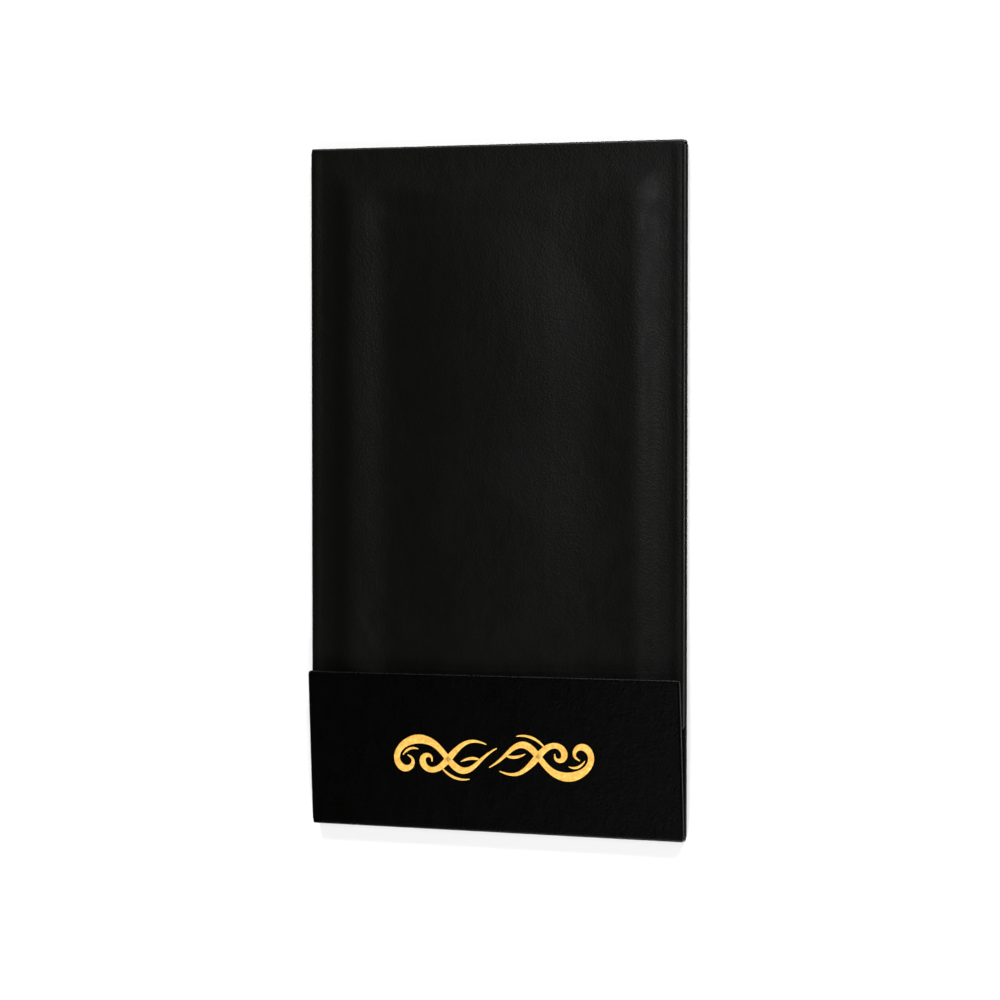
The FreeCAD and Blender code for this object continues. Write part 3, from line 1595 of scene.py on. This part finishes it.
    def _creases(self, place: Vector) -> float:
        """Slack wrinkles near the corners of the padding.

        Args:
            place: the place on the face.

        Returns:
            Their height there, all together.
        """
        total = 0.0
        for start, end, height in self.wrinkles:
            line = end - start
            share = (Vector(place.xy) - start).dot(line) / line.length_squared
            away = (Vector(place.xy) - start - line * share).length
            along = bump(share - 0.5, self.wrinkle_reach)
            total += height * bump(away, self.wrinkle_width) * along
        return total

    def build(self, finishes: Finishes) -> list[Piece]:
        """Makes the cover's leatherette, padding and lining, and finishes its card.

        Args:
            finishes: the presenter's finishes.

        Returns:
            The three new pieces.
        """
        panel = self.outline()
        leather = panel.sheet("cover_leather", self.cell)
        reshape(leather, lambda point: point + Vector((0, 0, self.rise(point, panel))))
        self._relax(leather, panel)
        reshape(leather, lambda point: point + Vector((0, 0, self.swing(point, panel))))
        modify(leather, "SUBSURF", levels=1, render_levels=1, boundary_smooth="PRESERVE_CORNERS")
        wrap(leather, panel)
        finish_piece(leather, finishes.leather, "cover_skin")
        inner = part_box("cover_liner")[0].z
        lining = line_panel("cover_lining", panel, inner, self.lining_margin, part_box("cover_board"))
        finish_piece(lining, finishes.lining, "cover_liner")
        pieces = [leather, self._padding(panel, finishes), lining]
        for piece in pieces:
            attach(piece, Body.COVER.value)
        dress(frame["nodes"]["cover_board"], finishes.card)
        return pieces

    def _relax(self, sheet: Piece, panel: Outline) -> None:
        """Lets the sheet settle as cloth over its padding, held along its glued margins.

        Args:
            sheet: the cover's face in its form.
            panel: the cover's outline.
        """
        held = sheet.vertex_groups.new(name="glued")
        points = sheet.data.vertices
        glued = [point.index for point in points if self.ramp(point.co, panel) < self.glued_below]
        held.add(glued, 1.0, "REPLACE")
        before = [point.co.copy() for point in sheet.data.vertices]
        reshape(sheet, lambda point: point * self.relax_scale)
        take(sheet)
        cloth = sheet.modifiers.new("relax", "CLOTH")
        feel = cloth.settings
        feel.vertex_group_mass = held.name
        feel.use_pressure = True
        feel.uniform_pressure_force = 0.3
        feel.tension_stiffness = 25
        feel.compression_stiffness = 25
        feel.shear_stiffness = 12
        feel.bending_stiffness = 6.0
        feel.shrink_min = 0.002
        feel.effector_weights.gravity = 0
        cloth.collision_settings.use_collision = False
        cloth.point_cache.frame_end = self.relax_frames
        for number in range(1, self.relax_frames + 1):
            bpy.context.scene.frame_set(number)
        settled = sheet.evaluated_get(bpy.context.evaluated_depsgraph_get())
        after = [point.co / self.relax_scale for point in settled.data.vertices]
        sheet.modifiers.remove(cloth)
        bpy.context.scene.frame_set(1)
        farthest = 0.0
        for point, old, new in zip(sheet.data.vertices, before, after):
            step = new - old
            if step.length > self.relax_cap:
                step = step.normalized() * self.relax_cap
            farthest = max(farthest, step.length)
            point.co = old + step
        sheet.vertex_groups.clear()
        log.info("%s settles by up to %.2f mm", sheet.name, farthest / MM)

    def _padding(self, panel: Outline, finishes: Finishes) -> Piece:
        """The foam pad between the card and the leatherette, bevelled along its edges.

        Args:
            panel: the cover's outline.
            finishes: the presenter's finishes.

        Returns:
            The pad, closed.
        """
        inset = Vector((self.side_margin, self.end_margin, 0))
        base = panel.level - STOCK.skin
        low = Vector((-panel.half, panel.low, base)) + inset
        high = Vector((panel.half - self.side_margin, panel.high - self.top_margin, base))
        pad = lattice("cover_padding", low, high, self.foam_cell)
        edge = Vector((0, 0, self.foam_edge))
        with editing(pad, Domain.FACE):
            pick_all()
            bpy.ops.mesh.extrude_region_move(TRANSFORM_OT_translate={"value": edge})
        skin_gap = self.foam_gap - STOCK.skin

        def swell(point: Vector) -> Vector:
            """Raises the pad's upper side to just under the leatherette.

            Args:
                point: a place on the flat pad.

            Returns:
                The place on the full pad.
            """
            if point.z < base + self.foam_edge / 2:
                return point
            full = self.rise(point, panel) + self.swing(point, panel)
            under = full * self.foam_share - skin_gap
            return Vector((point.x, point.y, base + max(self.foam_edge, under)))

        reshape(pad, swell)
        outward_faces(pad)
        finish_piece(pad, finishes.foam, "cover_foam")
        return pad


@dataclass
class Flap:
    """The short flap that holds the cover's end, with its gold ornament.

    A face of a solid looks up where its normal rises by more than facing_up.
    """

    cell: float = 1.0 * MM
    lining_margin: float = 3.0 * MM
    right_lift: float = 1.3 * MM
    left_reach: float = 0.3 * MM
    right_reach: float = 1.6 * MM
    card_gap: float = 0.02 * MM
    card_cell: float = 5.0 * MM
    foil_centre: Vector = field(default_factory=lambda: Vector((0.5, -94.4)) * MM)
    foil_thickness: float = 0.07 * MM
    facing_up: float = 0.9

    def __post_init__(self) -> None:
        """Reads the flap's hinge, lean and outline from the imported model."""
        joint = next(j for j in frame["joints"] if j["name"] == "flap_unfolds")
        self.hinge = Vector(joint["pos_m"])
        faces = frame["nodes"]["flap_board"].data.polygons
        top = max((f for f in faces if f.normal.z > self.facing_up), key=lambda f: f.area)
        self.lean = math.atan2(-top.normal.y, top.normal.z)
        self.panel = self.outline()

    def flat_box(self, node: str) -> Box:
        """The corners of one of the flap's solids, turned back to lie flat.

        Args:
            node: the solid's name.

        Returns:
            The lowest and the highest corner.
        """
        places = [leaned(p.co, self.hinge, -self.lean) for p in frame["nodes"][node].data.vertices]
        low = Vector([min(p[axis] for p in places) for axis in range(3)])
        high = Vector([max(p[axis] for p in places) for axis in range(3)])
        return low, high

    def outline(self) -> Outline:
        """The panel's plan and levels as it lies flat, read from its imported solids.

        Returns:
            The outline.
        """
        low, high = self.flat_box("flap_skin")
        return Outline(
            half=high.x,
            low=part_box("bottom_fold_skin")[0].y,
            high=high.y,
            level=high.z,
            inward=-1,
            depth=high.z - low.z,
            fold_low=True,
            fold_high=False,
        )

    def raised(self, point: Vector) -> Vector:
        """A flat place after the flap's lean, its slightly askew cut and its right corner's lift.

        Args:
            point: the place on the flat flap.

        Returns:
            The place on the closed flap.
        """
        tilted = leaned(point, self.hinge, self.lean)
        panel = self.panel
        along = max(0.0, (point.y - panel.low) / (panel.high - panel.low))
        aside = (point.x + panel.half) / (2 * panel.half)
        reach = self.left_reach + (self.right_reach - self.left_reach) * aside
        return tilted + Vector((0, reach * along, self.right_lift * along ** 2 * aside))

    def build(self, finishes: Finishes) -> list[Piece]:
        """Makes the flap's leatherette, card, lining and ornament.

        Args:
            finishes: the presenter's finishes.

        Returns:
            The four new pieces.
        """
        panel = self.panel
        leather = panel.sheet("flap_leather", self.cell)
        wrap(leather, panel)
        inner = self.flat_box("flap_liner")[0].z
        board = self.flat_box("flap_board")
        lining = line_panel("flap_lining", panel, inner, self.lining_margin, board)
        card = self._card()
        ornament = Ornament(self.foil_centre, panel.level, self.foil_thickness).build()
        parts = [
            # The flap's leatherette wears the darker copy of the leatherette, which is painted shade.
            (leather, finishes.flap_leather, Slot.LEATHERETTE, "flap_skin"),
            (lining, finishes.lining, Slot.LINING, "flap_liner"),
            (card, finishes.card, Slot.CARD, "flap_board"),
            (ornament, finishes.foil, Slot.GOLD_FOIL, None),
        ]
        for piece, material, slot, node in parts:
            reshape(piece, self.raised)
            finish_piece(piece, material, node)
            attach(piece, Body.FLAP.value)
        return [piece for piece, *_ in parts]

    def _card(self) -> Piece:
        """The flap's card, which later follows the lift of its right corner.

        Returns:
            The card, flat and closed.
        """
        low, high = self.flat_box("flap_board")
        level = high.z - self.card_gap
        corners = Vector((*low.xy, level)), Vector((*high.xy, level))
        sheet = lattice("flap_card", *corners, self.card_cell)
        thicken(sheet, high.z - low.z - 2 * self.card_gap)
        return sheet


class Side(Enum):
    """Which half of the ornament a stroke is on."""

    RIGHT = 1
    LEFT = -1


@dataclass(frozen=True)
class Stroke:
    """One pen stroke of the ornament: its route in millimetres and how broad it gets."""

    route: tuple[tuple[float, float], ...]
    breadth: float
    hairline: float = 0.35


@dataclass
class Ornament:
    """A generic pen flourish in gold foil: the same strokes on both sides, turned half round.

    A stroke's breadth grows from its ends by the power of swelling. It also comes and goes along
    the route, by wave_depth of itself and at wave_rate radians per point.
    """

    centre: Vector
    level: float
    thickness: float
    unit: float = 0.5 * MM
    edge: float = 0.1 * MM
    swelling: float = 0.8
    wave_depth: float = 0.28
    wave_rate: float = 2.1
    strokes: tuple[Stroke, ...] = (
        Stroke(
            (
                (-1.5, -3.4), (3.0, -1.0), (7.5, 4.6), (13.0, 5.6), (17.5, 0.6), (21.5, -4.6),
                (28.5, -6.4), (35.0, -3.4), (37.4, 1.4), (34.6, 5.6), (30.2, 4.4), (30.0, 1.0),
                (32.4, 0.2),
            ),
            3.6,
        ),
        Stroke(
            (
                (2.4, -4.6), (7.0, -6.4), (12.0, -4.4), (16.6, 0.8), (20.6, 5.0), (25.0, 5.4),
                (27.4, 2.2), (25.6, -0.8), (22.8, 0.2), (23.2, 2.2),
            ),
            3.0,
        ),
        Stroke(((4.2, 1.4), (6.6, -0.2), (9.4, 0.4), (12.2, 1.8)), 2.2, 0.2),
        Stroke(((28.2, -2.0), (30.4, -3.0), (32.8, -2.0), (34.2, 0.2)), 1.8, 0.2),
        Stroke(((9.0, 7.8), (13.4, 8.9), (17.8, 6.8), (20.0, 3.4)), 2.0, 0.2),
    )

    def build(self) -> Piece:
        """Draws every stroke and joins them into one thin raised film.

        Returns:
            The ornament, flat at the flap's face.
        """
        curve = bpy.data.curves.new("foil_flourish", "CURVE")
        curve.dimensions = "3D"
        curve.bevel_depth = self.unit
        curve.bevel_resolution = 2
        curve.use_fill_caps = True
        for side in Side:
            for stroke in self.strokes:
                self._draw(curve, stroke, side.value)
        drawn = bpy.data.objects.new("foil_flourish", curve)
        bpy.context.scene.collection.objects.link(drawn)
        take(drawn)
        bpy.ops.object.convert(target="MESH")
        film = bpy.context.object
        film.name = "foil_flourish"
        self._flatten(film)
        return film

    def _draw(self, curve: bpy.types.Curve, stroke: Stroke, side: int) -> None:
        """Adds one stroke to the curve, thin at its ends and broad between.

        Args:
            curve: the curve that holds all strokes.
            stroke: the stroke.
            side: +1 for the right half and -1 for the left.
        """
        spline = curve.splines.new("NURBS")
        last = len(stroke.route) - 1
        spline.points.add(last)
        for number, (point, (x, y)) in enumerate(zip(spline.points, stroke.route)):
            point.co = (x * MM * side, y * MM * side, 0, 1)
            swell = math.sin(math.pi * number / last) ** self.swelling
            wave = 1 - self.wave_depth + self.wave_depth * math.cos(number * self.wave_rate)
            point.radius = stroke.hairline + (stroke.breadth - stroke.hairline) * swell * wave
        spline.order_u = 4
        spline.use_endpoint_u = True
        spline.resolution_u = 10

    def _flatten(self, film: Piece) -> None:
        """Presses the round strokes to a thin film at the flap's face.

        Args:
            film: the strokes, round and about the origin.
        """
        middle = Vector((*self.centre, self.level))

        def press(point: Vector) -> Vector:
            """Keeps the stroke's plan and evens out its height."""
            height = math.copysign(min(abs(point.z), self.edge), point.z) / self.edge
            return Vector((point.x, point.y, height * self.thickness / 2)) + middle

        reshape(film, press)
        outward_faces(film)


@dataclass(frozen=True)
class Softbox:
    """A square soft light that faces the presenter.

    Polar is its angle off the zenith and azimuth its angle round from +X, both in degrees. Its
    width is in metres and its power in watts.
    """

    name: str
    polar: float
    azimuth: float
    width: float
    power: float

    def hang(self, reach: float) -> None:
        """Makes the light.

        Args:
            reach: how far it is from the presenter.
        """
        off = math.radians(self.polar)
        turn = math.radians(self.azimuth)
        aim = Vector((math.sin(off) * math.cos(turn), math.sin(off) * math.sin(turn), math.cos(off)))
        data = bpy.data.lights.new(self.name, "AREA")
        data.size = self.width
        data.energy = self.power
        light = bpy.data.objects.new(self.name, data)
        bpy.context.scene.collection.objects.link(light)
        light.location = aim * reach
        light.rotation_mode = "QUATERNION"
        light.rotation_quaternion = (-light.location).to_track_quat("-Z", "Y")


@dataclass
class Studio:
    """A pale floor, soft lights, a pale room with a dark ceiling, and the camera.

    The room has the walls' grey up to walls_end of its height, and the ceiling's from
    ceiling_start on.
    """

    floor_half: float = 5.0
    floor_drop: float = 0.05 * MM
    floor_tones: tuple[Colour, Colour] = ((0.90, 0.90, 0.90), (0.92, 0.92, 0.92))
    floor_clouds_per_metre: float = 3.0
    floor_roughness: float = 0.9
    walls: Colour = (0.85, 0.85, 0.86)
    walls_end: float = 0.10
    ceiling: Colour = (0.02, 0.02, 0.02)
    ceiling_start: float = 0.55
    room_light: float = 0.25
    target: Vector = field(default_factory=lambda: Vector((0.60, -3.74, 0)) * MM)
    azimuth: float = 20.9
    elevation: float = 2.19
    distance: float = 1137 * MM
    lens: float = 116.4
    reach: float = 1.8
    softboxes: tuple[Softbox, ...] = (
        Softbox("key", 11, 95, 0.5, 4.9),
        Softbox("front", 30, 250, 0.4, 2.0),
        Softbox("fill_64", 62, 64, 0.6, 27.0),
        Softbox("fill_100", 62, 100, 0.6, 27.0),
        Softbox("fill_260", 62, 260, 0.6, 23.0),
        Softbox("fill_296", 62, 296, 0.6, 23.0),
    )

    def build(self) -> None:
        """Makes the camera, the floor, the world and the lights."""
        self._camera()
        self._floor()
        self._world()
        for softbox in self.softboxes:
            softbox.hang(self.reach)
        bpy.context.scene.view_settings.view_transform = "Standard"

    def _camera(self) -> None:
        """The camera at the photograph's viewing angle."""
        side = math.radians(self.azimuth)
        up = math.radians(self.elevation)
        back = Vector((math.sin(side) * math.cos(up), math.sin(up), math.cos(side) * math.cos(up)))
        right = Vector((0, 1, 0)).cross(back).normalized()
        upward = back.cross(right)
        data = bpy.data.cameras.new("camera")
        data.lens = self.lens
        data.sensor_width = 36
        data.clip_start = 0.01
        data.clip_end = 50
        camera = bpy.data.objects.new("camera", data)
        bpy.context.scene.collection.objects.link(camera)
        turn = Matrix((right, upward, back)).transposed().to_4x4()
        camera.matrix_world = Matrix.Translation(self.target + back * self.distance) @ turn
        bpy.context.scene.camera = camera

    def _floor(self) -> None:
        """A large plain white floor."""
        take_none()
        below = (0, 0, -self.floor_drop)
        bpy.ops.mesh.primitive_plane_add(size=2 * self.floor_half, location=below)
        floor = bpy.context.object
        floor.name = "floor"
        paint = Paint("floor_paper")
        clouds = paint.blotches(self.floor_clouds_per_metre, detail=1.0)
        white = paint.mix(clouds, *self.floor_tones)
        sockets = {"Base Color": white, "Roughness": self.floor_roughness}
        floor.data.materials.append(paint.dress(sockets))

    def _world(self) -> None:
        """A pale room whose ceiling is dark, so that the glossy black stays black."""
        world = bpy.data.worlds.new("room")
        world.use_nodes = True
        bpy.context.scene.world = world
        tree = world.node_tree
        place = tree.nodes.new("ShaderNodeTexCoord")
        split = tree.nodes.new("ShaderNodeSeparateXYZ")
        ramp = tree.nodes.new("ShaderNodeValToRGB")
        stops = ((self.walls_end, self.walls), (self.ceiling_start, self.ceiling))
        for element, (height, grey) in zip(ramp.color_ramp.elements, stops):
            element.position = height
            element.color = (*grey, 1)
        tree.links.new(place.outputs["Generated"], split.inputs[0])
        tree.links.new(split.outputs["Z"], ramp.inputs[0])
        background = tree.nodes["Background"]
        tree.links.new(ramp.outputs[0], background.inputs["Color"])
        background.inputs["Strength"].default_value = self.room_light


def folds(flap: Flap, cover: Cover, finishes: Finishes) -> list[Fold]:
    """The two folds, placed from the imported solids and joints.

    Args:
        flap: the flap, for its lean and level.
        cover: the cover, for its level.
        finishes: the presenter's finishes.

    Returns:
        The top fold and the bottom fold.
    """
    hinges = {joint["name"]: Vector(joint["pos_m"]) for joint in frame["joints"]}
    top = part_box("top_fold_skin")[1].y
    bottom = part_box("bottom_fold_skin")[0].y
    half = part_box("back_skin")[1].x
    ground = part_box("back_skin")[0].z
    return [
        Fold(
            name="top_fold",
            body=Body.TOP_FOLD,
            skin_node="top_fold_skin",
            lining_node="top_fold_liner",
            back_bend=Bend(half, top, ground, 1, -1, hinges["cover_opens"]),
            front_bend=Bend(half, top, cover.outline().level, 1, 1, hinges["cover_unfolds"]),
            front_body=Body.COVER,
            leather=finishes.leather,
        ),
        Fold(
            name="bottom_fold",
            body=Body.BOTTOM_FOLD,
            skin_node="bottom_fold_skin",
            lining_node="bottom_fold_liner",
            back_bend=Bend(half, bottom, ground, -1, -1, hinges["flap_opens"]),
            front_bend=Bend(half, bottom, flap.panel.level, -1, 1, flap.hinge, flap.lean),
            front_body=Body.FLAP,
            # The bottom fold wears the flap's darker copy of the leatherette, which is painted shade.
            leather=finishes.flap_leather,
        ),
    ]


def main() -> None:
    """Builds the studio and every sub-assembly, and reports each piece."""
    logging.basicConfig(level=logging.INFO, format="%(name)s: %(message)s")
    Studio().build()
    finishes = Finishes.mixed()
    cover = Cover()
    flap = Flap()
    for part in (BackPanel(), cover, flap, *folds(flap, cover, finishes)):
        for piece in part.build(finishes):
            log.info("%s: %d faces", piece.name, len(piece.data.polygons))


if __name__ == "__main__":
    main()
